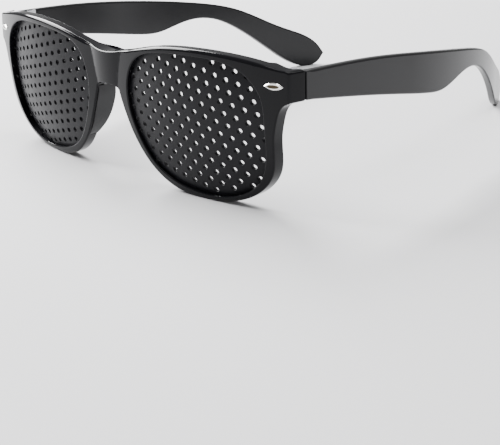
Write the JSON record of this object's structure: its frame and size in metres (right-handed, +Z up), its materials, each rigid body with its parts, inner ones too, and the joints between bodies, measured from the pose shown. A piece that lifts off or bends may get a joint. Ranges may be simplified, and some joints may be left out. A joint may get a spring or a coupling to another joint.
{
  "type": "pinhole glasses",
  "caption": "Plastic spectacle frame with curved opaque plates pierced by a hexagonal field of small holes in place of lenses, and two folding temples on screwed hinges",
  "frame": {"origin": "under the middle of the whole, temples open, on the surface that both rim bottoms and both temple ends stand on", "axes": "+Z is up, -Y is the way the front faces, +X is the wearer's left, and the temples run back along +Y"},
  "size_m": [0.1482, 0.1648, 0.0491],
  "materials": {
    "frame_plastic": "polished black injection-moulded plastic",
    "temple_plastic": "polished black injection-moulded plastic",
    "pad_plastic": "satin black plastic",
    "plate_plastic": "fine satin black plastic, pierced",
    "rivet_metal": "polished bright metal with a dark sunk slot",
    "hinge_metal": "plain stamped steel",
    "screw_metal": "turned steel"
  },
  "bodies": {
    "front": {"front_frame": "frame_plastic", "left_pinhole_plate": "plate_plastic", "right_pinhole_plate": "plate_plastic", "left_nose_pad": "pad_plastic", "right_nose_pad": "pad_plastic", "left_rivet": "rivet_metal", "right_rivet": "rivet_metal", "left_front_hinge": "hinge_metal", "right_front_hinge": "hinge_metal", "left_hinge_screw": "screw_metal", "right_hinge_screw": "screw_metal"},
    "left_arm": {"left_temple": "temple_plastic", "left_temple_hinge": "hinge_metal"},
    "right_arm": {"right_temple": "temple_plastic", "right_temple_hinge": "hinge_metal"}
  },
  "joints": [
    {"name": "left_temple_fold", "type": "hinge", "parent": "front", "child": "left_arm", "pos_m": [0.06781, -0.06565, 0.0409], "axis": [0, 0, 1], "range_deg": [0, 84]},
    {"name": "right_temple_fold", "type": "hinge", "parent": "front", "child": "right_arm", "pos_m": [-0.06781, -0.06565, 0.0409], "axis": [0, 0, -1], "range_deg": [0, 74]}
  ]
}
